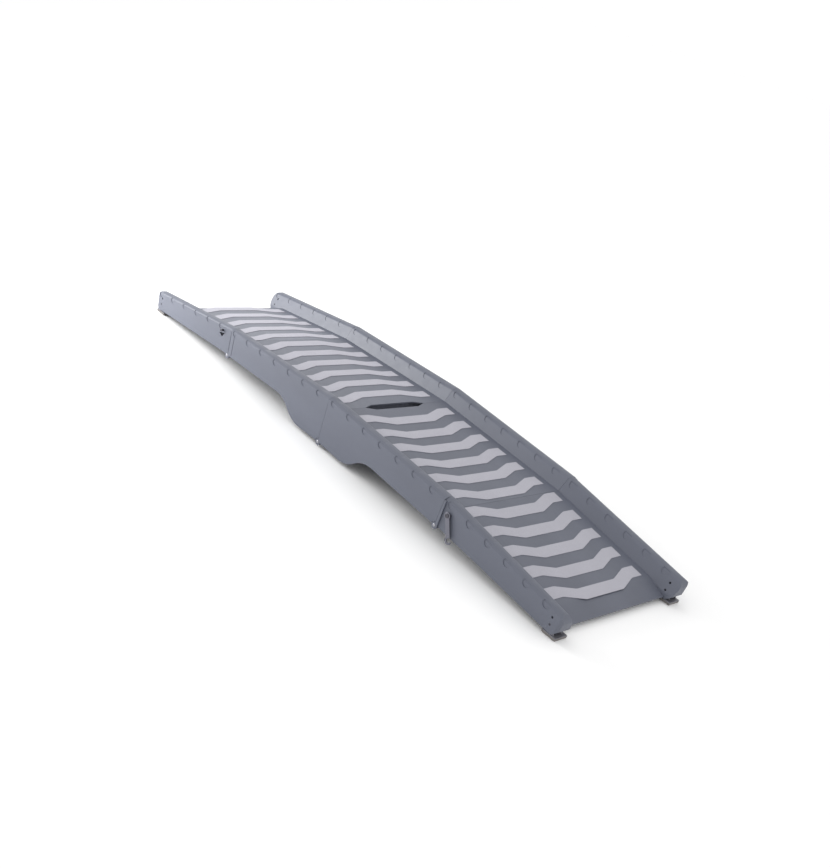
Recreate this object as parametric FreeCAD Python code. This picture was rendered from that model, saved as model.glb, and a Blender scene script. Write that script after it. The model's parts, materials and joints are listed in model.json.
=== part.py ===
"""Four-section folding dog ramp: moulded trays hinged at the bottom of their side walls.

Millimetres.  X runs across the ramp, Y along it (the upper end is at +Y), Z is up, and the
origin is on the floor under the middle of the unfolded, arched ramp.  Each tray is drawn in
its own section frame: t runs along the tray away from the middle of the ramp, n is the
height above the crest of its side rails, and the frame's origin is the crest at the tray's
inner seam.  Folding takes all four undersides together, so the two end trays are a little
narrower and nest between the deep side walls of the two middle trays.
"""
import FreeCAD, Part
import os
from math import asin, atan, copysign, cos, hypot, radians, sin, tan

from FreeCAD import Placement, Rotation, Vector

# --- overall sizes ---------------------------------------------------------------------
WIDTH = 425.0              # over the side walls of the middle trays
NEST = 3.5                 # how far an end tray's outer faces are set in; the inner faces are flush
MIDDLE_LENGTH = 416.0      # crest length of a middle tray, seam to seam
END_LENGTH = 367.0         # crest length of an end tray, seam to tip
MIDDLE_SLOPE = 2.5         # degrees each middle tray falls away from the centre seam
END_SLOPE = 7.8            # degrees each end tray falls away
SEAM_GAP = 0.25            # set-back of each tray from a seam plane

# --- side walls and rails --------------------------------------------------------------
SKIN = 3.0                 # moulded wall thickness
RAIL_WIDTH = 30.0          # width of the rounded rail
RAIL_SHOULDER = 6.0        # depth at which the rail's round meets the wall faces
WALL_FOOT = 46.4           # width of the wall where its sloping inner face meets the deck
MIDDLE_WALL = 70.5         # wall depth of a middle tray beside an end tray
BELLY_WALL = 114.0         # wall depth of a middle tray at the centre seam
BELLY_START = 82.0         # where the deep wall starts to curve up
BELLY_END = 193.0          # where the curve has reached the ordinary wall depth
END_WALL = 50.0            # wall depth of an end tray at its tip
TIP_LEAN = 12.0            # how far the tip overhangs the bottom corner of its wall
CHIN = (1.5, 37.0)         # corner of the tip between them: set-back and depth
TIP_ROUND = 18.0           # rounding of the rail's tip, seen from the side
PLAN_ROUND = 9.0           # rounding of the rail's tip, seen from above
POCKET_RADIUS = 10.0       # half-moon finger pockets along both faces of the rails
POCKET_DEPTH = 1.0
POCKET_REACH = 3.5         # how far a pocket runs in over the crest
SCALLOP_RADIUS = 82.0      # shallow dip of the crest between two pockets
SCALLOP_DEPTH = 1.2
POCKET_FIRST = 20.0        # distance of the first pocket from a tray's upper end
POCKET_PITCH = 59.4

# --- deck ------------------------------------------------------------------------------
DECK_DEPTH = 35.0          # deck surface below the crest
DECK_THICK = 3.2
RIB_DEPTH = 7.0
RIB_THICK = 2.5
LONG_RIBS = 5
CROSS_RIB_PITCH = 72.0
WEB_DEPTH = 16.0           # deeper cross web under the deck near each seam
WEB_SET_BACK = 24.0
LIP_START = 302.0          # an end tray's deck bends down to the floor from here
LIP_END = 349.0
LIP_DROP = 12.0
SLOT_HALF_LENGTH = 94.5    # six-sided carry slot across the centre seam
SLOT_HALF_FLAT = 67.0
SLOT_HALF_WIDTH = 12.0

# --- anti-slip strips ------------------------------------------------------------------
STRIP_PITCH = 63.7
STRIP_HALF_LENGTH = 147.0
STRIP_BEND_OUTER = 117.0   # the strip is straight outside this and inside the next
STRIP_BEND_INNER = 57.0
STRIP_BEND_RADIUS = 20.0
STRIP_STEP = 21.0          # offset of the strip's middle towards the ramp's end
STRIP_WIDTH = 31.0
STRIP_THICK = 1.0
MIDDLE_STRIPS = 6
MIDDLE_STRIP_START = 33.5
END_STRIPS = 5
END_STRIP_START = 5.0

# --- hinges ----------------------------------------------------------------------------
CENTRE_AXIS = 115.0        # depth of the centre hinge axis below the crest
OUTER_AXIS = 71.0          # depth of the two outer hinge axes
KNUCKLE_RADIUS = 8.0
PIN_RADIUS = 3.0
RUNNING_CLEARANCE = 0.06
PIN_HEAD_RADIUS = 3.8
PIN_HEAD_THICK = 1.2
OUTER_EAR = (0.0, 3.0)     # places across the wall, from its outer face inwards
KNUCKLE = (3.5, 24.0)
INNER_EAR = (24.5, 28.5)
SWEEP_CLEARANCE = 1.0      # room around a knuckle or an ear
EYE_WEB = 26.0             # height of the web above a hinge axis
STRAP_TOP = 5.0            # width of an end tray's hinge strap at its top
STRAP_WIDTH = 18.0         # strap of the upper hinge, marked by a groove at each edge
STRAP_GAP = 3.0            # place of its first groove
LINE_WIDTH = 1.4           # width and depth of that groove

# --- swivelling feet -------------------------------------------------------------------
FOOT_PIVOT = (344.0, -34.0)
SPARE_HOLE = (341.5, -18.0)
FOOT_HEIGHT = 27.0         # pivot above the floor
FOOT_PIN_RADIUS = 2.5
FOOT_ACROSS = (3.7, 39.2)  # from the tray's outer wall face
FOOT_HEEL = 15.0           # sole behind the pivot
FOOT_TOE = 21.0            # sole beyond the pivot
PAD_THICK = 5.0
SOLE_THICK = 2.0
CHEEK_THICK = 2.0
CHEEK_RADIUS = 7.0
CHEEK_TOE = 13.0           # foot of a cheek beyond the pivot
PIN_SET_IN = 0.8           # a foot's pin ends this far below the wall's faces
PAD_NOSE = 1.2             # chamfers and grooves of the rubber pad
PAD_GROOVES = 4
CHEEKS = (6.0, 29.0)       # outer faces of the two cheeks, from the tray's outer wall face
FOOT_ROOM = 33.0           # the wall's end is open for the foot from the outer skin to here
ROOM_BEFORE = 12.0         # and from this far before the foot's pivot to the tip
CAP_DEPTH = 26.0           # how far the rail's end cap reaches down over the foot

# --- latch hooks -----------------------------------------------------------------------
HOOK_PIVOT = (25.0, -28.0)
HOOK_LENGTH = 51.5         # pivot to the middle of the hook
HOOK_REST_ANGLE = 33.0     # degrees from straight down the wall towards the tip
HOOK_HALF_WIDTH = 6.0
HOOK_THICK = 2.0
HOOK_EYE_RADIUS = 8.0      # round end at the rivet
HOOK_END_RADIUS = 9.0      # round end about the hook's throat
HOOK_THROAT = 4.2          # radius of the throat
HOOK_MOUTH = (-3.4, 5.4)   # lower and upper lip of the mouth, from the throat's middle
WASHER_RADIUS = 5.0
RIVET_RADIUS = 2.5
RIVET_HEAD_RADIUS = 5.0
RIVET_HEAD_THICK = 1.5
CATCH_PIVOT = (38.4, -16.0)
CATCH_RADIUS = 3.0
CATCH_HEAD_RADIUS = 4.2
CATCH_PLAY = 0.4           # room for the hook between the stud's collar and its head
CATCH_WINDOW = [(31.0, -22.0), (55.0, -25.5), (42.0, -34.0)]   # three-sided hole below the stud

SPACER = 4.0               # a hook runs this far outside an end tray's wall
OVERCUT = 5.0              # how far a cutting shape runs past what it cuts

# --- values that follow from the sizes above -------------------------------------------
OUTER_HALF_TURN = (END_SLOPE - MIDDLE_SLOPE) / 2.0
DECK_UNDER = -DECK_DEPTH - DECK_THICK
CREST_HEIGHT = (FOOT_HEIGHT + MIDDLE_LENGTH * sin(radians(MIDDLE_SLOPE))
                + FOOT_PIVOT[0] * sin(radians(END_SLOPE)) - FOOT_PIVOT[1] * cos(radians(END_SLOPE)))


class Tray:
    """One section: where it lies and how it is hinged.

    end is +1 towards the upper end of the ramp and -1 towards the lower end.
    """

    def __init__(self, name, end, is_end_tray, inner_joint, outer_joint):
        self.name = name
        self.end = end
        self.is_end_tray = is_end_tray
        self.inner_joint = inner_joint       # "ear", "knuckle"
        self.outer_joint = outer_joint       # "ear", "knuckle" or None
        self.inset = NEST if is_end_tray else 0.0
        self.rail_width = RAIL_WIDTH - self.inset
        self.wall_foot = WALL_FOOT - self.inset

    def slope(self):
        return END_SLOPE if self.is_end_tray else MIDDLE_SLOPE

    def length(self):
        return END_LENGTH if self.is_end_tray else MIDDLE_LENGTH

    def inner_half_turn(self):
        return OUTER_HALF_TURN if self.is_end_tray else MIDDLE_SLOPE

    def inner_axis(self):
        depth = OUTER_AXIS if self.is_end_tray else CENTRE_AXIS
        return (depth * tan(radians(self.inner_half_turn())), -depth)

    def outer_axis(self):
        return (MIDDLE_LENGTH - OUTER_AXIS * tan(radians(OUTER_HALF_TURN)), -OUTER_AXIS)

    def placement(self):
        """From the section frame to the ramp's frame."""
        origin = Vector(0, 0, CREST_HEIGHT)
        if self.is_end_tray:
            run = MIDDLE_LENGTH * cos(radians(MIDDLE_SLOPE))
            fall = MIDDLE_LENGTH * sin(radians(MIDDLE_SLOPE))
            origin = Vector(0, self.end * run, CREST_HEIGHT - fall)
        return Placement(origin, Rotation(Vector(1, 0, 0), -self.end * self.slope()))

    def put(self, shape):
        placed = shape.copy()
        placed.Placement = self.placement().multiply(placed.Placement)
        return placed

    def point(self, place, x=0.0):
        """A place (t, n) of this tray in the ramp's frame."""
        return self.placement().multVec(Vector(x, self.end * place[0], place[1]))

    def strip_starts(self):
        if self.is_end_tray:
            return [END_STRIP_START + k * STRIP_PITCH for k in range(END_STRIPS)]
        return [MIDDLE_STRIP_START + k * STRIP_PITCH for k in range(MIDDLE_STRIPS)]

    def pocket_places(self):
        """Pockets are spaced from the upper end of each tray."""
        count = int((self.length() - POCKET_FIRST) // POCKET_PITCH) + 1
        from_upper = [POCKET_FIRST + k * POCKET_PITCH for k in range(count)]
        if self.end > 0:
            return [self.length() - place for place in from_upper]
        return from_upper


TRAYS = [
    Tray("section_upper_end", +1, True, "knuckle", None),
    Tray("section_upper_middle", +1, False, "knuckle", "ear"),
    Tray("section_lower_middle", -1, False, "ear", "knuckle"),
    Tray("section_lower_end", -1, True, "ear", None),
]
SIDES = {"left": -1, "right": +1}


# --- drawing helpers -------------------------------------------------------------------
def s_curve(start, finish):
    """Arc steps of a double bend that is level at start and at finish."""
    run = finish[0] - start[0]
    rise = finish[1] - start[1]
    radius = (run ** 2 + rise ** 2) / (4.0 * abs(rise))
    half_turn = asin(abs(run) / 2.0 / radius) / 2.0
    along = copysign(radius * sin(half_turn), run)
    aside = copysign(radius * (1.0 - cos(half_turn)), rise)
    middle = ((start[0] + finish[0]) / 2.0, (start[1] + finish[1]) / 2.0)
    return [((start[0] + along, start[1] + aside), middle),
            ((finish[0] - along, finish[1] - aside), finish)]


def offset_bend(start, finish, radius):
    """Steps of a double bend with a straight slope between two arcs, level at both ends."""
    run = abs(finish[0] - start[0])
    rise = abs(finish[1] - start[1])
    turn = atan((rise - 2.0 * radius) / run) + asin(2.0 * radius / hypot(run, rise - 2.0 * radius))

    def spot(end, angle):
        """A place on the arc at either end, after the given turn."""
        toward = 1.0 if end is start else -1.0
        along = copysign(radius * sin(angle), (finish[0] - start[0]) * toward)
        aside = copysign(radius * (1.0 - cos(angle)), (finish[1] - start[1]) * toward)
        return end[0] + along, end[1] + aside

    return [(spot(start, turn / 2.0), spot(start, turn)), spot(finish, turn),
            (spot(finish, turn / 2.0), finish)]


def closed_face(steps, to_vector):
    """Face from an outline whose steps are points, or (middle, end) pairs for arcs."""
    is_arc = [isinstance(step[0], tuple) for step in steps]
    ends = [to_vector(step[1] if arc else step) for step, arc in zip(steps, is_arc)]
    edges = []
    for index, step in enumerate(steps):
        start = ends[index - 1]
        if is_arc[index]:
            edges.append(Part.Arc(start, to_vector(step[0]), ends[index]).toShape())
        elif start.distanceToPoint(ends[index]) > 1e-6:
            edges.append(Part.LineSegment(start, ends[index]).toShape())
    return Part.Face(Part.Wire(edges))


def side_prism(tray, steps, x_from, x_to):
    """Outline in (t, n), given its thickness across the ramp."""
    face = closed_face(steps, lambda p: Vector(x_from, tray.end * p[0], p[1]))
    return face.extrude(Vector(x_to - x_from, 0, 0))


def plan_prism(tray, steps, n_from, n_to):
    """Outline in (x, t), given its thickness upwards."""
    face = closed_face(steps, lambda p: Vector(p[0], tray.end * p[1], n_from))
    return face.extrude(Vector(0, 0, n_to - n_from))


def section_prism(tray, steps, t_from, t_to):
    """Outline in (x, n), run along the tray."""
    face = closed_face(steps, lambda p: Vector(p[0], tray.end * t_from, p[1]))
    return face.extrude(Vector(0, tray.end * (t_to - t_from), 0))


def rod(tray, place, radius, x_from, x_to):
    """Cylinder across the tray at the place (t, n)."""
    return Part.makeCylinder(radius, x_to - x_from, Vector(x_from, tray.end * place[0], place[1]),
                             Vector(1, 0, 0))


def both_sides(shape):
    """The shape on the left wall, and its mirror image on the right wall."""
    return [shape, shape.mirror(Vector(0, 0, 0), Vector(1, 0, 0))]


def on_side(shape, side):
    return both_sides(shape)[0 if side < 0 else 1]


def wall_x(place):
    """X of a place across the left wall, measured inwards from the middle trays' outer face."""
    return place - WIDTH / 2.0


# --- one tray --------------------------------------------------------------------------
def seam_t(tray, n, inner, set_back=SEAM_GAP):
    """t of a seam plane at the height n, set back into the tray."""
    if inner:
        return -n * tan(radians(tray.inner_half_turn())) + set_back
    return MIDDLE_LENGTH + n * tan(radians(OUTER_HALF_TURN)) - set_back


def side_outline(tray, thick=0.0, drop=0.0):
    """Side view of a wall; thick insets both ends and drop lowers the bottom edge."""
    back = SEAM_GAP + thick
    wall = MIDDLE_WALL + drop
    if tray.is_end_tray:
        tip_top = END_LENGTH - thick
        tip_bottom = END_LENGTH - TIP_LEAN - thick
        corner = TIP_ROUND - thick
        bend = corner * (1.0 - sin(radians(45.0)))
        return [(seam_t(tray, 0.0, True, back), 0.0),
                (tip_top - corner, 0.0),
                ((tip_top - bend, -bend), (tip_top, -corner)),
                (tip_top - CHIN[0], -CHIN[1]),
                (tip_bottom, -END_WALL - drop),
                (seam_t(tray, -wall, True, back), -wall)]
    belly = BELLY_WALL + drop
    return [(seam_t(tray, 0.0, True, back), 0.0),
            (seam_t(tray, 0.0, False, back), 0.0),
            (seam_t(tray, -wall, False, back), -wall),
            (BELLY_END, -wall),
            *s_curve((BELLY_END, -wall), (BELLY_START, -belly)),
            (seam_t(tray, -belly, True, back), -belly)]


def rail_section(tray, inset):
    """Cross-section of a wall filled solid: outer face, rounded crest, sloping inner face."""
    bottom = -BELLY_WALL - 2.0 * OVERCUT
    crest_radius = ((tray.rail_width / 2.0) ** 2 + RAIL_SHOULDER ** 2) / (2.0 * RAIL_SHOULDER)
    radius = crest_radius - inset
    half = tray.rail_width / 2.0 - inset
    shoulder = -crest_radius + (radius ** 2 - half ** 2) ** 0.5
    middle = tray.inset + tray.rail_width / 2.0
    inner_foot = tray.inset + tray.wall_foot - inset
    return [(wall_x(middle - half), bottom),
            (wall_x(middle - half), shoulder),
            ((wall_x(middle), -inset), (wall_x(middle + half), shoulder)),
            (wall_x(inner_foot), DECK_UNDER),
            (wall_x(inner_foot), bottom)]


def tip_plan(tray, inset):
    """Plan of a wall with the corners of its tip rounded."""
    outer = tray.inset + inset
    inner = tray.inset + tray.wall_foot - inset
    tip = END_LENGTH - inset
    corner = PLAN_ROUND - inset
    bend = corner * (1.0 - sin(radians(45.0)))
    return [(wall_x(outer), -TIP_ROUND),
            (wall_x(outer), tip - corner),
            ((wall_x(outer + bend), tip - bend), (wall_x(outer + corner), tip)),
            (wall_x(inner - corner), tip),
            ((wall_x(inner - bend), tip - bend), (wall_x(inner), tip - corner)),
            (wall_x(inner), -TIP_ROUND)]


def filled_wall(tray, inset=0.0):
    """The left wall as a solid block; with an inset, the same block shrunk inside itself."""
    drop = OVERCUT if inset else 0.0
    block = section_prism(tray, rail_section(tray, inset), -TIP_ROUND, tray.length() + OVERCUT)
    side = side_prism(tray, side_outline(tray, inset, drop), wall_x(-OVERCUT), wall_x(2.0 * WALL_FOOT))
    wall = block.common(side)
    if tray.is_end_tray:
        wall = wall.common(plan_prism(tray, tip_plan(tray, inset), -2.0 * BELLY_WALL, OVERCUT))
    return wall


def opening_below(tray):
    """Clears the wall's inner face below the deck, so that only the outer skirt hangs down."""
    lowest = -BELLY_WALL - 2.0 * OVERCUT
    start = seam_t(tray, lowest, True) + SKIN
    finish = LIP_START if tray.is_end_tray else MIDDLE_LENGTH - 2.0 * SKIN - OVERCUT
    outline = [(start, DECK_UNDER - SKIN), (finish, DECK_UNDER - SKIN), (finish, lowest), (start, lowest)]
    return side_prism(tray, outline, wall_x(tray.inset + SKIN), wall_x(tray.inset + WALL_FOOT + OVERCUT))


def finger_pockets(tray):
    """Half-moons in both faces of the rail, and a shallow dip of the crest between them."""
    outer_reach = (wall_x(-OVERCUT), wall_x(tray.inset + POCKET_REACH))
    inner_reach = (wall_x(tray.inset + tray.rail_width - POCKET_REACH), wall_x(2.0 * WALL_FOOT))
    discs, dips = [], []
    for place in tray.pocket_places():
        discs.append(rod(tray, (place, -RAIL_SHOULDER), POCKET_RADIUS, *outer_reach))
        discs.append(rod(tray, (place, -RAIL_SHOULDER), POCKET_RADIUS, *inner_reach))
        dips.append(rod(tray, (place, SCALLOP_RADIUS - SCALLOP_DEPTH), SCALLOP_RADIUS,
                        wall_x(-OVERCUT), wall_x(2.0 * WALL_FOOT)))
    moons = Part.makeCompound(discs).cut(filled_wall(tray, POCKET_DEPTH))
    return [moons] + dips


def hinge_web(tray, inner, across):
    """Round hinge eye with the web that ties it to the wall's end."""
    axis = tray.inner_axis() if inner else tray.outer_axis()
    toward = 1.0 if inner else -1.0
    outline = [(seam_t(tray, axis[1], inner), axis[1]),
               (axis[0] + toward * KNUCKLE_RADIUS, axis[1]),
               (seam_t(tray, axis[1] + EYE_WEB, inner), axis[1] + EYE_WEB)]
    web = side_prism(tray, outline, wall_x(across[0]), wall_x(across[1]))
    return rod(tray, axis, KNUCKLE_RADIUS, wall_x(across[0]), wall_x(across[1])).fuse(web)


def sweep_room(tray, inner, across, radius=KNUCKLE_RADIUS):
    """Room for what turns about a hinge axis."""
    axis = tray.inner_axis() if inner else tray.outer_axis()
    margin = SWEEP_CLEARANCE / 4.0
    return rod(tray, axis, radius + SWEEP_CLEARANCE, wall_x(across[0] - margin), wall_x(across[1] + margin))


def hinge_strap(tray):
    """Raised strap that brings an end tray's outer eye out to the middle tray's face."""
    axis = tray.inner_axis()
    low = axis[1] + KNUCKLE_RADIUS + 2.0 * SWEEP_CLEARANCE
    top = -RAIL_SHOULDER
    edge = seam_t(tray, top, True)
    face = [(edge, top), (edge + STRAP_TOP, top), (axis[0] + KNUCKLE_RADIUS, axis[1]),
            (seam_t(tray, axis[1], True), axis[1])]
    bridge = [(edge, top), (edge + STRAP_TOP, top), (axis[0] + KNUCKLE_RADIUS - 1.0, low),
              (seam_t(tray, low, True), low)]
    strap = side_prism(tray, face, wall_x(OUTER_EAR[0]), wall_x(OUTER_EAR[1]))
    return strap.fuse(side_prism(tray, bridge, wall_x(OUTER_EAR[0]), wall_x(tray.inset + SKIN / 2.0)))


def add_hinge(tray, wall, inner, role):
    """The wall with its half of a hinge."""
    axis = tray.inner_axis() if inner else tray.outer_axis()
    if role == "ear":
        wall = wall.cut(sweep_room(tray, inner, KNUCKLE))
        wall = wall.fuse([hinge_web(tray, inner, OUTER_EAR), hinge_web(tray, inner, INNER_EAR)])
        if tray.is_end_tray:
            wall = wall.fuse(hinge_strap(tray))
    else:
        wall = wall.cut([sweep_room(tray, inner, OUTER_EAR), sweep_room(tray, inner, INNER_EAR)])
        wall = wall.fuse(hinge_web(tray, inner, KNUCKLE))
    bore = rod(tray, axis, PIN_RADIUS + RUNNING_CLEARANCE, wall_x(-OVERCUT), wall_x(WALL_FOOT))
    head = (INNER_EAR[1] + SWEEP_CLEARANCE / 4.0, INNER_EAR[1] + PIN_HEAD_THICK)
    return wall.cut([bore, sweep_room(tray, inner, head, PIN_HEAD_RADIUS)])


def strap_line(tray, place):
    """Groove down the wall's outer face, the given distance from the upper hinge's seam."""
    top = -RAIL_SHOULDER
    low = -OUTER_AXIS + KNUCKLE_RADIUS / 2.0
    outline = [(seam_t(tray, top, False, place), top),
               (seam_t(tray, low, False, place - 2.0), low),
               (seam_t(tray, low, False, place - 2.0 + LINE_WIDTH), low),
               (seam_t(tray, top, False, place + LINE_WIDTH), top)]
    return side_prism(tray, outline, wall_x(-OVERCUT), wall_x(LINE_WIDTH))


def foot_room(tray):
    """Holes for a foot's pin, and the open end below the rail's cap where the foot swings."""
    near, far = wall_x(-OVERCUT), wall_x(tray.inset + WALL_FOOT + OVERCUT)
    bore = FOOT_PIN_RADIUS + RUNNING_CLEARANCE
    holes = [rod(tray, FOOT_PIVOT, bore, near, far), rod(tray, SPARE_HOLE, bore, near, far)]
    start = FOOT_PIVOT[0] - ROOM_BEFORE
    front = END_LENGTH - 2.0 * SKIN
    outline = [(start, -CAP_DEPTH), (front, -CAP_DEPTH), (front, -CHIN[1]),
               (END_LENGTH + OVERCUT, -CHIN[1]), (END_LENGTH + OVERCUT, -BELLY_WALL),
               (start, -BELLY_WALL)]
    room = side_prism(tray, outline, wall_x(tray.inset + SKIN), wall_x(tray.inset + tray.wall_foot - SKIN))
    skin_inside = filled_wall(tray, SKIN).fuse(
        side_prism(tray, outline, wall_x(tray.inset + SKIN), wall_x(tray.inset + FOOT_ROOM)))
    return holes + [room.common(skin_inside)]


def latch_cuts(tray):
    """Holes for the latch rivet, or for the catch and its three-sided window."""
    near, far = wall_x(-OVERCUT), wall_x(tray.inset + 2.0 * SKIN)
    if tray.end < 0:
        return [rod(tray, HOOK_PIVOT, RIVET_RADIUS + RUNNING_CLEARANCE, near, far)]
    window = side_prism(tray, CATCH_WINDOW, near, far)
    return [rod(tray, CATCH_PIVOT, CATCH_RADIUS + RUNNING_CLEARANCE, near, far), window]


def build_wall(tray):
    """The left side wall with its hinge eyes, pockets and holes."""
    wall = filled_wall(tray).cut([filled_wall(tray, SKIN), opening_below(tray)])
    wall = wall.cut(finger_pockets(tray))
    wall = add_hinge(tray, wall, True, tray.inner_joint)
    if tray.outer_joint:
        wall = add_hinge(tray, wall, False, tray.outer_joint)
    if tray.is_end_tray:
        wall = wall.cut(foot_room(tray) + latch_cuts(tray))
    elif tray.outer_joint == "ear":
        wall = wall.cut([strap_line(tray, STRAP_GAP), strap_line(tray, STRAP_WIDTH)])
    return wall


def deck_half_width(tray):
    return WIDTH / 2.0 - tray.inset - tray.wall_foot + SKIN


def build_deck(tray):
    """Deck plate with its ribs, seam webs, end lip and its half of the carry slot."""
    half = deck_half_width(tray)
    top, under = -DECK_DEPTH, DECK_UNDER
    start = [(seam_t(tray, under, True), under), (seam_t(tray, top, True), top)]
    if tray.is_end_tray:
        finish = [(LIP_START, top), (LIP_END, top - LIP_DROP), (LIP_END, under - LIP_DROP),
                  (LIP_START, under)]
        rib_end = LIP_START
    else:
        finish = [(seam_t(tray, top, False), top), (seam_t(tray, under, False), under)]
        rib_end = MIDDLE_LENGTH - WEB_SET_BACK
    pieces = [side_prism(tray, start + finish, -half, half)]
    rib_low = under - RIB_DEPTH
    for k in range(LONG_RIBS):
        middle = half * (2.0 * (k + 1) / (LONG_RIBS + 1) - 1.0)
        outline = [(WEB_SET_BACK, under + 1.0), (rib_end, under + 1.0), (rib_end, rib_low),
                   (WEB_SET_BACK, rib_low)]
        pieces.append(side_prism(tray, outline, middle - RIB_THICK / 2.0, middle + RIB_THICK / 2.0))
    place = WEB_SET_BACK + CROSS_RIB_PITCH
    while place < rib_end - CROSS_RIB_PITCH / 2.0:
        pieces.append(cross_web(tray, place, rib_low, half))
        place += CROSS_RIB_PITCH
    pieces.append(cross_web(tray, WEB_SET_BACK, under - WEB_DEPTH, half))
    if not tray.is_end_tray:
        pieces.append(cross_web(tray, rib_end, under - WEB_DEPTH, half))
    deck = pieces[0].fuse(pieces[1:])
    if not tray.is_end_tray:
        deck = deck.cut(carry_slot(tray))
    return deck


def cross_web(tray, place, low, half):
    outline = [(place - RIB_THICK / 2.0, DECK_UNDER + 1.0), (place + RIB_THICK / 2.0, DECK_UNDER + 1.0),
               (place + RIB_THICK / 2.0, low), (place - RIB_THICK / 2.0, low)]
    return side_prism(tray, outline, -half, half)


def carry_slot(tray):
    seam = seam_t(tray, -DECK_DEPTH, True, 0.0)
    outline = [(-SLOT_HALF_LENGTH, seam - OVERCUT), (-SLOT_HALF_LENGTH, seam),
               (-SLOT_HALF_FLAT, seam + SLOT_HALF_WIDTH), (SLOT_HALF_FLAT, seam + SLOT_HALF_WIDTH),
               (SLOT_HALF_LENGTH, seam), (SLOT_HALF_LENGTH, seam - OVERCUT)]
    return plan_prism(tray, outline, DECK_UNDER - OVERCUT, 0.0)


def build_tray(tray):
    walls = both_sides(build_wall(tray))
    return build_deck(tray).fuse(walls).removeSplitter()


def build_strip(tray, start):
    """Anti-slip strip: straight ends and middle, joined by double bends."""
    outer, inner, radius = STRIP_BEND_OUTER, STRIP_BEND_INNER, STRIP_BEND_RADIUS
    near, far = start, start + STRIP_WIDTH
    near_middle, far_middle = near + STRIP_STEP, far + STRIP_STEP
    outline = [(-STRIP_HALF_LENGTH, near), (-outer, near),
               *offset_bend((-outer, near), (-inner, near_middle), radius),
               (inner, near_middle), *offset_bend((inner, near_middle), (outer, near), radius),
               (STRIP_HALF_LENGTH, near), (STRIP_HALF_LENGTH, far), (outer, far),
               *offset_bend((outer, far), (inner, far_middle), radius),
               (-inner, far_middle), *offset_bend((-inner, far_middle), (-outer, far), radius),
               (-STRIP_HALF_LENGTH, far)]
    return plan_prism(tray, outline, -DECK_DEPTH, -DECK_DEPTH + STRIP_THICK)


# --- fasteners -------------------------------------------------------------------------
def lathe(tray, place, steps):
    """Turned piece across the tray: steps are (radius, from, to), places across the wall."""
    cylinders = [rod(tray, place, radius, wall_x(start), wall_x(finish)) for radius, start, finish in steps]
    return cylinders[0].fuse(cylinders[1:]).removeSplitter()


def build_hinge_pin(tray, inner):
    axis = tray.inner_axis() if inner else tray.outer_axis()
    outside, inside = OUTER_EAR[0], INNER_EAR[1]
    return lathe(tray, axis, [(PIN_HEAD_RADIUS, outside - PIN_HEAD_THICK, outside),
                              (PIN_RADIUS, outside - PIN_HEAD_THICK, inside + PIN_HEAD_THICK),
                              (PIN_HEAD_RADIUS, inside, inside + PIN_HEAD_THICK)])


def build_foot_pin(tray):
    """Plain pin, set a little below both faces of the wall."""
    share = (-FOOT_PIVOT[1] - RAIL_SHOULDER) / (-DECK_UNDER - RAIL_SHOULDER)
    inner_face = tray.rail_width + (tray.wall_foot - tray.rail_width) * share
    return rod(tray, FOOT_PIVOT, FOOT_PIN_RADIUS, wall_x(tray.inset + PIN_SET_IN),
               wall_x(tray.inset + inner_face - PIN_SET_IN))


# --- feet, drawn level: out is the distance beyond the pivot, up is the height above it ---
def foot_prism(tray, steps, x_from, x_to):
    pivot = tray.point(FOOT_PIVOT)
    face = closed_face(steps, lambda p: Vector(x_from, pivot.y + tray.end * p[0], pivot.z + p[1]))
    return face.extrude(Vector(x_to - x_from, 0, 0))


def foot_span(tray):
    return wall_x(tray.inset + FOOT_ACROSS[0]), wall_x(tray.inset + FOOT_ACROSS[1])


def build_foot_bracket(tray):
    """Bent steel bracket: a sole with two upright cheeks."""
    sole_top = -FOOT_HEIGHT + PAD_THICK + SOLE_THICK
    sole = [(-FOOT_HEEL, sole_top), (FOOT_TOE, sole_top), (FOOT_TOE, sole_top - SOLE_THICK),
            (-FOOT_HEEL, sole_top - SOLE_THICK)]
    cheek = [(CHEEK_TOE, sole_top), (-FOOT_HEEL + SOLE_THICK, sole_top), (-CHEEK_RADIUS, 0.0),
             ((0.0, CHEEK_RADIUS), (CHEEK_RADIUS, 0.0))]
    pieces = [foot_prism(tray, sole, *foot_span(tray))]
    for place in CHEEKS:
        near = wall_x(tray.inset + place)
        pieces.append(foot_prism(tray, cheek, near, near + CHEEK_THICK))
    bracket = pieces[0].fuse(pieces[1:])
    pivot = tray.point(FOOT_PIVOT)
    bore = Part.makeCylinder(FOOT_PIN_RADIUS + RUNNING_CLEARANCE, WALL_FOOT,
                             Vector(wall_x(tray.inset), pivot.y, pivot.z), Vector(1, 0, 0))
    return bracket.cut(bore).removeSplitter()


def build_foot_pad(tray):
    """Rubber sole with shallow cross grooves."""
    top, bottom = -FOOT_HEIGHT + PAD_THICK, -FOOT_HEIGHT
    outline = [(-FOOT_HEEL, top), (FOOT_TOE, top)]
    outline += [(FOOT_TOE, bottom + PAD_NOSE), (FOOT_TOE - PAD_NOSE, bottom)]
    outline += [(-FOOT_HEEL + PAD_NOSE, bottom), (-FOOT_HEEL, bottom + PAD_NOSE)]
    pad = foot_prism(tray, outline, *foot_span(tray))
    grooves = []
    for k in range(1, PAD_GROOVES + 1):
        place = -FOOT_HEEL + (FOOT_HEEL + FOOT_TOE) * k / (PAD_GROOVES + 1)
        groove = [(place - PAD_NOSE, bottom), (place, bottom + PAD_NOSE), (place + PAD_NOSE, bottom)]
        grooves.append(foot_prism(tray, groove, *foot_span(tray)))
    return pad.cut(grooves)


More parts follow.
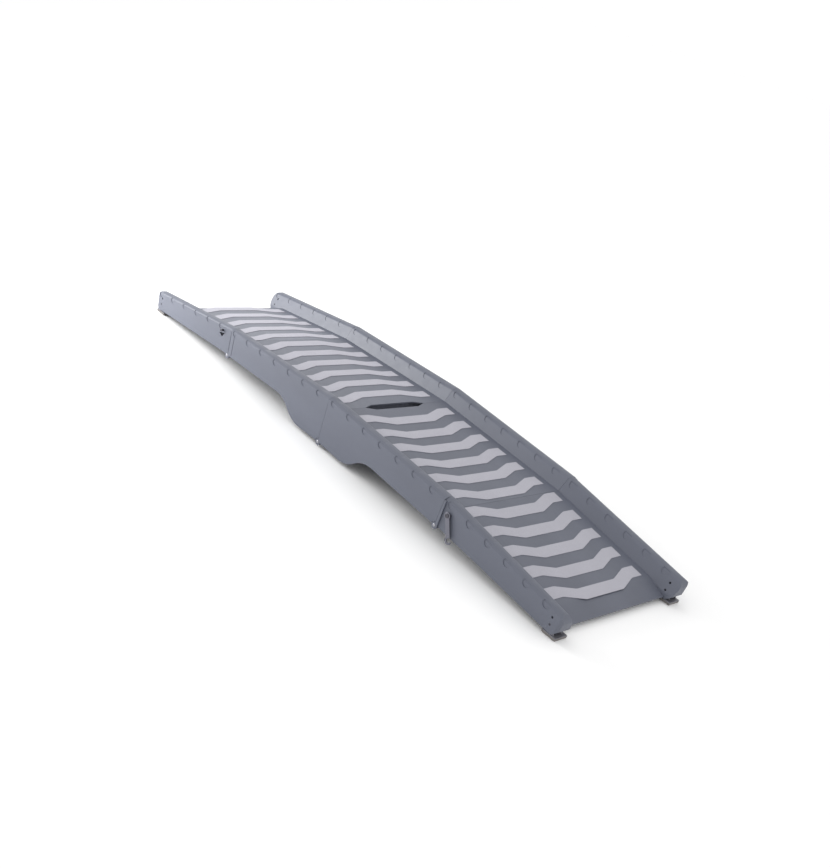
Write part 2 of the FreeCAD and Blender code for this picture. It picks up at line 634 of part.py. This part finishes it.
# --- latches ---------------------------------------------------------------------------
def build_hook(tray):
    """Flat lever with an eye at the rivet and an open hook at its far end."""
    far = tray.inset - SPACER
    plate = (wall_x(far - HOOK_THICK), wall_x(far))
    through = (wall_x(far - HOOK_THICK - OVERCUT), wall_x(far + OVERCUT))
    half = HOOK_HALF_WIDTH
    throat = (0.0, -HOOK_LENGTH)
    lever = side_prism(tray, [(-half, 0.0), (half, 0.0), (half, throat[1]), (-half, throat[1])], *plate)
    ends = [rod(tray, (0.0, 0.0), HOOK_EYE_RADIUS, *plate), rod(tray, throat, HOOK_END_RADIUS, *plate)]
    lever = lever.fuse(ends)
    low, high = (throat[1] + lip for lip in HOOK_MOUTH)
    reach = HOOK_END_RADIUS + OVERCUT
    mouth = side_prism(tray, [(0.0, high), (reach, high), (reach, low), (0.0, low)], *through)
    lever = lever.cut([mouth, rod(tray, throat, HOOK_THROAT, *through)])
    lever = lever.cut(rod(tray, (0.0, 0.0), RIVET_RADIUS + RUNNING_CLEARANCE, *through)).removeSplitter()
    lever.rotate(Vector(0, 0, 0), Vector(1, 0, 0), tray.end * HOOK_REST_ANGLE)
    lever.translate(Vector(0, tray.end * HOOK_PIVOT[0], HOOK_PIVOT[1]))
    return lever


def build_latch_rivet(tray):
    face = tray.inset
    outside = face - SPACER - HOOK_THICK
    return lathe(tray, HOOK_PIVOT, [(RIVET_HEAD_RADIUS, outside - RIVET_HEAD_THICK, outside),
                                    (RIVET_RADIUS, outside, face + SKIN + RIVET_HEAD_THICK),
                                    (RIVET_HEAD_RADIUS, face + SKIN, face + SKIN + RIVET_HEAD_THICK)])


def build_latch_washer(tray):
    ring = rod(tray, HOOK_PIVOT, WASHER_RADIUS, wall_x(tray.inset - SPACER), wall_x(tray.inset))
    return ring.cut(rod(tray, HOOK_PIVOT, RIVET_RADIUS + RUNNING_CLEARANCE,
                        wall_x(tray.inset - SPACER - 1.0), wall_x(tray.inset + 1.0)))


def build_catch(tray):
    """Headed stud that a hook closes on."""
    face = tray.inset
    neck = face - SPACER + CATCH_PLAY
    head = face - SPACER - HOOK_THICK - CATCH_PLAY
    return lathe(tray, CATCH_PIVOT, [(CATCH_HEAD_RADIUS, head - PIN_HEAD_THICK, head),
                                     (CATCH_RADIUS, head, neck),
                                     (CATCH_HEAD_RADIUS, neck, face),
                                     (CATCH_RADIUS, neck, face + SKIN + RIVET_HEAD_THICK),
                                     (CATCH_HEAD_RADIUS, face + SKIN, face + SKIN + RIVET_HEAD_THICK)])


# --- the whole ramp --------------------------------------------------------------------
def build_all():
    """Every node by name, in the ramp's frame."""
    nodes = {}
    upper_end, upper_middle, lower_middle, lower_end = TRAYS
    for tray in TRAYS:
        nodes[tray.name] = tray.put(build_tray(tray))
        for number, start in enumerate(tray.strip_starts(), 1):
            strip_name = tray.name.replace("section", "strip") + f"_{number}"
            nodes[strip_name] = tray.put(build_strip(tray, start))
    hinges = {"upper": (upper_middle, False), "centre": (upper_middle, True), "lower": (lower_middle, False)}
    for side_name, side in SIDES.items():
        for hinge_name, (tray, inner) in hinges.items():
            pin = on_side(build_hinge_pin(tray, inner), side)
            nodes[f"hinge_pin_{hinge_name}_{side_name}"] = tray.put(pin)
        for end_name, tray in (("upper", upper_end), ("lower", lower_end)):
            nodes[f"foot_pin_{end_name}_{side_name}"] = tray.put(on_side(build_foot_pin(tray), side))
            nodes[f"foot_bracket_{end_name}_{side_name}"] = on_side(build_foot_bracket(tray), side)
            nodes[f"foot_pad_{end_name}_{side_name}"] = on_side(build_foot_pad(tray), side)
        nodes[f"latch_hook_{side_name}"] = lower_end.put(on_side(build_hook(lower_end), side))
        nodes[f"latch_rivet_{side_name}"] = lower_end.put(on_side(build_latch_rivet(lower_end), side))
        nodes[f"latch_washer_{side_name}"] = lower_end.put(on_side(build_latch_washer(lower_end), side))
        nodes[f"latch_catch_{side_name}"] = upper_end.put(on_side(build_catch(upper_end), side))
    return nodes


def write_parts():
    os.makedirs("parts", exist_ok=True)
    for name, shape in build_all().items():
        solids = shape.Solids
        if len(solids) != 1 or not shape.isValid():
            print(f"{name}: {len(solids)} solids, valid {shape.isValid()}")
        solids[0].exportStep(f"parts/{name}.step")


write_parts()
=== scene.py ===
"""Looks of the folding dog ramp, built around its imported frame.  Metres."""
import json
from math import cos, pi, radians, sin

import bmesh
import bpy
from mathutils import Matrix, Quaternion, Vector


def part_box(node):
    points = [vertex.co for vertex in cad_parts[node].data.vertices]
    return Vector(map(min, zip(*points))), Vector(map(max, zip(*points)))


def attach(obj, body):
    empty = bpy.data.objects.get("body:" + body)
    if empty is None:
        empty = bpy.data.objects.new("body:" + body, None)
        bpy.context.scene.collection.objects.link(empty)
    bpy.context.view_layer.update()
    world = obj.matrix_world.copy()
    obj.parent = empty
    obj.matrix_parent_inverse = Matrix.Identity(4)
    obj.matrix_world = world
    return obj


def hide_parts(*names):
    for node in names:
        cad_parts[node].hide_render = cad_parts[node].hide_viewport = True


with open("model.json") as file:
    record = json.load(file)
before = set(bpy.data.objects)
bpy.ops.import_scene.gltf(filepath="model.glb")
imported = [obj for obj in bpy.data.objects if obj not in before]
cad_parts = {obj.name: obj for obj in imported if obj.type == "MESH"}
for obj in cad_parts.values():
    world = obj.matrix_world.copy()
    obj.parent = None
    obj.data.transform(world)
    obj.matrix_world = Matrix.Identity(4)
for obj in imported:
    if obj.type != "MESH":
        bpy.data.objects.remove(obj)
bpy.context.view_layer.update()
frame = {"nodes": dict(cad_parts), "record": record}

BODY_OF = {node: body for body, nodes in frame["record"]["behaviour"]["bodies"].items() for node in nodes}
SLOT_OF = {part["node"]: part["material_slot"] for part in frame["record"]["subparts"]}

# --- camera ----------------------------------------------------------------------------
CAMERA_AT = Vector((-1.7996, -1.7263, 1.1029))
CAMERA_AIM = Vector((-0.0688, -0.1521, 0.1000))
CAMERA_ROLL = 17.35        # the ramp stands level here, and leans in the view
CAMERA_LENS = 46.38

# --- light and floor -------------------------------------------------------------------
WORLD_LIGHT = 1.02
FAR_LEFT = {"place": (-0.85, 1.5, 0.42), "aim": (-0.2, 0.6, 0.05), "size": 0.9, "power": 26.0}
BEHIND = {"place": (1.3, 2.7, 0.95), "aim": (0.0, 0.6, 0.05), "size": 1.5, "power": 5.0}
FLOOR_SIZE = 60.0
FLOOR_DROP = 0.0005        # keeps the floor from touching the soles

# --- colours, as seen under white light ------------------------------------------------
TRAY_COLOUR = (0.108, 0.117, 0.150)
TREAD_COLOUR = (0.44, 0.435, 0.485)
STEEL_COLOUR = (0.40, 0.40, 0.43)
GALVANISED_COLOUR = (0.20, 0.20, 0.235)
RIVET_COLOUR = (0.10, 0.10, 0.115)
BRACKET_COLOUR = (0.15, 0.15, 0.17)
RUBBER_COLOUR = (0.16, 0.15, 0.145)
WHITE = (1.0, 1.0, 1.0)

# --- edges of the CAD nodes that stay, by material slot ----------------------------------
EDGE_ROUNDING = {"tray": 0.0007, "tread": 0.0003, "steel": 0.0004, "bracket": 0.0004, "rubber_foot": 0.0006}
EDGE_SEGMENTS = 2
SHARP_ANGLE = 35.0         # an edge that turns less is part of a curve
WELD_GAP = 0.00001

# --- turned pieces -----------------------------------------------------------------------
LATHE_SIDES = 40
PIN_HEAD_THICK = 0.0012
PIN_SHAFT_RADIUS = 0.003
RIVET_HEAD_THICK = 0.0015
RIVET_SHAFT_RADIUS = 0.0025
# A pressed head, in shares of its radius and of its height
HEAD_FOOT_RADIUS = 0.96
HEAD_EDGE_HEIGHT = 0.12
DIMPLE_RADIUS = 0.35
DIMPLE_FLOOR_RADIUS = 0.06
DIMPLE_DEPTH = 0.35
DOME_STEPS = 7
# A rolled rivet end: its sunk middle in shares of its radius, its roll in shares of the rim's half thickness
SUNK_MIDDLE_RADIUS = 0.05
ROLL_WIDTH = 2.2
ROLL_STEPS = 10


# --- materials -------------------------------------------------------------------------
class Shader:
    """A node material under construction, with procedural detail in object space."""

    def __init__(self, name, roughness, metallic=0.0):
        self.material = bpy.data.materials.new(name)
        self.material.use_nodes = True
        self.tree = self.material.node_tree
        self.bsdf = self.tree.nodes["Principled BSDF"]
        self.bsdf.inputs["Roughness"].default_value = roughness
        self.bsdf.inputs["Metallic"].default_value = metallic
        coordinates = self.tree.nodes.new("ShaderNodeTexCoord")
        self.object_space = coordinates.outputs["Object"]

    def link(self, output, target):
        self.tree.links.new(output, target)

    def stretched(self, scale):
        """Object coordinates scaled unevenly, for brushed or flowing grain."""
        mapping = self.tree.nodes.new("ShaderNodeMapping")
        mapping.inputs["Scale"].default_value = scale
        self.link(self.object_space, mapping.inputs["Vector"])
        return mapping.outputs["Vector"]

    def noise(self, scale, detail=2.0, roughness=0.5, space=None):
        """Cloudy value from 0 to 1."""
        node = self.tree.nodes.new("ShaderNodeTexNoise")
        node.inputs["Scale"].default_value = scale
        node.inputs["Detail"].default_value = detail
        node.inputs["Roughness"].default_value = roughness
        self.link(space or self.object_space, node.inputs["Vector"])
        return node.outputs["Fac"]

    def cells(self, scale):
        """Distance from the middles of scattered cells."""
        node = self.tree.nodes.new("ShaderNodeTexVoronoi")
        node.inputs["Scale"].default_value = scale
        self.link(self.object_space, node.inputs["Vector"])
        return node.outputs["Distance"]

    def ramp(self, value, low, high, colour_low, colour_high):
        """Colour that changes as the value goes from low to high."""
        node = self.tree.nodes.new("ShaderNodeValToRGB")
        stops = zip(node.color_ramp.elements, (low, high), (colour_low, colour_high))
        for element, place, colour in stops:
            element.position = place
            element.color = (*colour, 1.0)
        self.link(value, node.inputs["Fac"])
        return node.outputs["Color"]

    def shades(self, value, low, high, base, darkest, lightest):
        """The base colour times darkest to lightest, as the value goes from low to high."""
        return self.ramp(value, low, high, tinted(base, darkest), tinted(base, lightest))

    def patches(self, value, low, high, most):
        """Share from 0 to most, as the value goes from low to high."""
        return self.ramp(value, low, high, tinted(WHITE, 0.0), tinted(WHITE, most))

    def blend(self, share, first, second):
        """Two colours mixed by a share from 0 to 1; the second may be a plain colour."""
        node = self.tree.nodes.new("ShaderNodeMix")
        node.data_type = "RGBA"
        self.link(share, node.inputs["Factor"])
        self.link(first, node.inputs["A"])
        if isinstance(second, tuple):
            node.inputs["B"].default_value = (*second, 1.0)
        else:
            self.link(second, node.inputs["B"])
        return node.outputs["Result"]

    def spread(self, value, low, high):
        """A value from 0 to 1 spread over low to high."""
        node = self.tree.nodes.new("ShaderNodeMapRange")
        node.inputs["To Min"].default_value = low
        node.inputs["To Max"].default_value = high
        self.link(value, node.inputs["Value"])
        return node.outputs["Result"]

    def bump(self, height, depth, strength, over=None):
        """Normals bent by a height, over those of another relief."""
        node = self.tree.nodes.new("ShaderNodeBump")
        node.inputs["Distance"].default_value = depth
        node.inputs["Strength"].default_value = strength
        self.link(height, node.inputs["Height"])
        if over:
            self.link(over, node.inputs["Normal"])
        return node.outputs["Normal"]

    def finished(self, colour, roughness=None, normal=None):
        """The material, with what varies over its surface wired in."""
        for output, name in ((colour, "Base Color"), (roughness, "Roughness"), (normal, "Normal")):
            if output:
                self.link(output, self.bsdf.inputs[name])
        return self.material


def tinted(colour, factor):
    return tuple(min(1.0, channel * factor) for channel in colour)


def moulded_plastic():
    """Matt grey polypropylene: fine spark-eroded grain, faint flow marks, dusty scuffs."""
    plastic = Shader("tray_plastic", roughness=0.5)
    flow = plastic.noise(1.0, detail=3.0, space=plastic.stretched((9.0, 2.5, 9.0)))
    clouds = plastic.shades(flow, 0.3, 0.7, TRAY_COLOUR, 0.93, 1.07)
    dust = plastic.shades(flow, 0.0, 1.0, TRAY_COLOUR, 1.25, 1.35)
    scuffs = plastic.patches(plastic.noise(160.0, detail=6.0, roughness=0.75), 0.60, 0.78, most=0.35)
    grain = plastic.bump(plastic.noise(1400.0, roughness=0.6), depth=0.00012, strength=0.6)
    waves = plastic.bump(plastic.noise(14.0, detail=1.0), depth=0.0008, strength=0.5, over=grain)
    sheen = plastic.spread(plastic.noise(60.0, detail=4.0, roughness=0.6), 0.40, 0.54)
    return plastic.finished(plastic.blend(scuffs, clouds, dust), sheen, waves)


def grip_strip():
    """Light anti-slip strip: a fine grit, with a little dirt trodden in."""
    strip = Shader("grip_strip", roughness=0.85)
    strip.bsdf.inputs["Specular IOR Level"].default_value = 0.3
    grains = strip.noise(900.0, detail=3.0, roughness=0.7)
    speckle = strip.shades(grains, 0.35, 0.65, TREAD_COLOUR, 0.88, 1.06)
    grime = strip.patches(strip.noise(22.0, detail=5.0, roughness=0.65), 0.35, 0.7, most=0.22)
    colour = strip.blend(grime, speckle, tinted(TREAD_COLOUR, 0.8))
    grit = strip.bump(strip.cells(1500.0), depth=0.0003, strength=0.7)
    return strip.finished(colour, strip.spread(strip.noise(120.0), 0.78, 0.95), grit)


def zinc_steel(name, base):
    """Zinc-plated steel with drawn streaks."""
    steel = Shader(name, roughness=0.35, metallic=1.0)
    streaks = steel.noise(1.0, detail=4.0, roughness=0.6, space=steel.stretched((300.0, 2500.0, 2500.0)))
    colour = steel.shades(streaks, 0.3, 0.7, base, 0.85, 1.15)
    return steel.finished(colour, steel.spread(streaks, 0.28, 0.45), steel.bump(streaks, 0.00005, 0.4))


def coated_bracket():
    """Dark powder coat with a faint orange peel."""
    coat = Shader("bracket_coat", roughness=0.45, metallic=0.2)
    colour = coat.shades(coat.noise(90.0, detail=4.0), 0.3, 0.75, BRACKET_COLOUR, 0.8, 1.5)
    peel = coat.bump(coat.noise(700.0), depth=0.0002, strength=0.4)
    return coat.finished(colour, coat.spread(coat.noise(40.0), 0.35, 0.55), peel)


def sole_rubber():
    """Dull grey rubber, slightly worn."""
    rubber = Shader("sole_rubber", roughness=0.85)
    wear = rubber.noise(120.0, detail=5.0, roughness=0.7)
    colour = rubber.shades(wear, 0.3, 0.75, RUBBER_COLOUR, 0.85, 1.3)
    texture = rubber.bump(rubber.noise(900.0), depth=0.0002, strength=0.5)
    return rubber.finished(colour, rubber.spread(rubber.noise(60.0), 0.75, 0.95), texture)


def floor_paint():
    """White studio floor, not quite even."""
    paint = Shader("floor", roughness=0.9)
    return paint.finished(paint.shades(paint.noise(3.0), 0.3, 0.7, WHITE, 0.985, 0.99))


MATERIALS = {
    "tray": moulded_plastic(),
    "tread": grip_strip(),
    "steel": zinc_steel("zinc_steel", STEEL_COLOUR),
    "bracket": coated_bracket(),
    "rubber_foot": sole_rubber(),
}
DULL_STEEL = zinc_steel("dull_steel", GALVANISED_COLOUR)
RIVET_STEEL = zinc_steel("rivet_steel", RIVET_COLOUR)


# --- CAD nodes that stay: softened edges and a real finish -------------------------------
def soften(piece, width):
    """Small rounded edges, as moulding and stamping leave them."""
    weld = piece.modifiers.new("weld", "WELD")
    weld.merge_threshold = WELD_GAP
    bevel = piece.modifiers.new("soft_edges", "BEVEL")
    bevel.width = width
    bevel.segments = EDGE_SEGMENTS
    bevel.limit_method = "ANGLE"
    bevel.angle_limit = radians(SHARP_ANGLE)
    bevel.use_clamp_overlap = True
    piece.modifiers.new("even_normals", "WEIGHTED_NORMAL")


def finish_of(node):
    """The latches' hooks and washers, and the pins of the feet, are darker than the other steel."""
    if node.startswith("foot_pin"):
        return RIVET_STEEL
    if node.startswith("latch"):
        return DULL_STEEL
    return MATERIALS[SLOT_OF[node]]


def finish_nodes():
    for name, piece in frame["nodes"].items():
        piece.data.materials.clear()
        piece.data.materials.append(finish_of(name))
        soften(piece, EDGE_ROUNDING[SLOT_OF[name]])


# --- turned steel pieces -----------------------------------------------------------------
def lathe(name, axis, profile):
    """Mesh turned about the line along X through axis (y, z); the profile is a list of (x, radius)."""
    mesh = bpy.data.meshes.new(name)
    piece = bpy.data.objects.new(name, mesh)
    bpy.context.collection.objects.link(piece)
    bm = bmesh.new()
    y, z = axis
    angles = [2.0 * pi * side / LATHE_SIDES for side in range(LATHE_SIDES)]
    rings = [[bm.verts.new((x, y + radius * cos(angle), z + radius * sin(angle))) for angle in angles]
             for x, radius in profile]
    for near, far in zip(rings, rings[1:]):
        for side in range(LATHE_SIDES):
            bm.faces.new((near[side], near[side - 1], far[side - 1], far[side]))
    bm.faces.new(rings[0])
    bm.faces.new(reversed(rings[-1]))
    bmesh.ops.recalc_face_normals(bm, faces=bm.faces)
    for face in bm.faces:
        face.smooth = True
    bm.to_mesh(mesh)
    bm.free()
    return piece


def domed_head(x_face, x_top, radius):
    """Profile of a pressed head, from its flat face to a shallow dimple in its domed top."""
    rise = x_top - x_face
    edge = HEAD_EDGE_HEIGHT
    profile = [(x_face, radius * HEAD_FOOT_RADIUS), (x_face + edge * rise, radius)]
    for step in range(1, DOME_STEPS + 1):
        angle = 0.5 * pi * step / DOME_STEPS
        share = DIMPLE_RADIUS + (1.0 - DIMPLE_RADIUS) * cos(angle)
        profile.append((x_face + rise * (edge + (1.0 - edge) * sin(angle)), radius * share))
    profile.append((x_top - DIMPLE_DEPTH * rise, radius * DIMPLE_FLOOR_RADIUS))
    return profile


def pin_profile(lo, hi, head_radius):
    """Headed pin between x = lo and x = hi, dimpled at both ends."""
    first, last = lo + PIN_HEAD_THICK, hi - PIN_HEAD_THICK
    shaft = [(first, PIN_SHAFT_RADIUS), (last, PIN_SHAFT_RADIUS)]
    return domed_head(first, lo, head_radius)[::-1] + shaft + domed_head(last, hi, head_radius)


def rolled_end(x_end, inward, radius):
    """Profile of a rolled rivet end, from its sunk middle over the rim to its underside."""
    rim = RIVET_HEAD_THICK / 2.0
    sunk = x_end + inward * rim
    profile = [(sunk, radius * SUNK_MIDDLE_RADIUS), (sunk, radius - ROLL_WIDTH * rim)]
    for step in range(ROLL_STEPS + 1):
        angle = pi * step / ROLL_STEPS
        profile.append((x_end + inward * rim * (1.0 - sin(angle)), radius - rim - rim * cos(angle)))
    profile.append((x_end + inward * RIVET_HEAD_THICK, radius))
    return profile


def rivet_profile(lo, hi, head_radius):
    """Tubular rivet between x = lo and x = hi, rolled at both ends."""
    first, last = lo + RIVET_HEAD_THICK, hi - RIVET_HEAD_THICK
    shaft = [(first, RIVET_SHAFT_RADIUS), (last, RIVET_SHAFT_RADIUS)]
    return rolled_end(lo, 1.0, head_radius) + shaft + rolled_end(hi, -1.0, head_radius)[::-1]


def turned_pieces(starts, profile_of, material):
    """Turned pieces in the places, and on the bodies, of the CAD nodes whose names start so."""
    for node in [name for name in frame["nodes"] if name.startswith(starts)]:
        lo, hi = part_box(node)
        axis = ((lo[1] + hi[1]) / 2.0, (lo[2] + hi[2]) / 2.0)
        piece = lathe("turned_" + node, axis, profile_of(lo[0], hi[0], (hi[2] - lo[2]) / 2.0))
        piece.data.materials.append(material)
        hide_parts(node)
        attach(piece, BODY_OF[node])


finish_nodes()
turned_pieces("hinge_pin", pin_profile, MATERIALS["steel"])
turned_pieces(("latch_rivet", "latch_catch"), rivet_profile, RIVET_STEEL)


# --- surroundings ------------------------------------------------------------------------
def build_floor():
    bpy.ops.mesh.primitive_plane_add(size=FLOOR_SIZE, location=(0.0, 0.0, -FLOOR_DROP))
    floor = bpy.context.object
    floor.name = "floor"
    floor.data.materials.append(floor_paint())


def facing(place, aim):
    """Rotation that points a light or camera from its place to its aim."""
    return (Vector(aim) - Vector(place)).to_track_quat("-Z", "Y")


def area_light(name, place, aim, size, power):
    data = bpy.data.lights.new(name, "AREA")
    data.shape = "DISK"
    data.size = size
    data.energy = power
    light = bpy.data.objects.new(name, data)
    light.location = place
    light.visible_camera = False
    light.rotation_mode = "QUATERNION"
    light.rotation_quaternion = facing(place, aim)
    bpy.context.collection.objects.link(light)


def build_light():
    world = bpy.data.worlds.new("studio")
    bpy.context.scene.world = world
    world.use_nodes = True
    background = world.node_tree.nodes["Background"]
    background.inputs["Color"].default_value = (*WHITE, 1.0)
    background.inputs["Strength"].default_value = WORLD_LIGHT
    area_light("far_left", **FAR_LEFT)
    area_light("behind", **BEHIND)


def build_camera():
    camera = bpy.data.objects.new("camera", bpy.data.cameras.new("camera"))
    bpy.context.collection.objects.link(camera)
    bpy.context.scene.camera = camera
    camera.data.lens = CAMERA_LENS
    camera.location = CAMERA_AT
    camera.rotation_mode = "QUATERNION"
    roll = Quaternion((0.0, 0.0, 1.0), radians(CAMERA_ROLL))
    camera.rotation_quaternion = facing(CAMERA_AT, CAMERA_AIM) @ roll


build_floor()
build_light()
build_camera()
bpy.context.scene.view_settings.view_transform = "Standard"
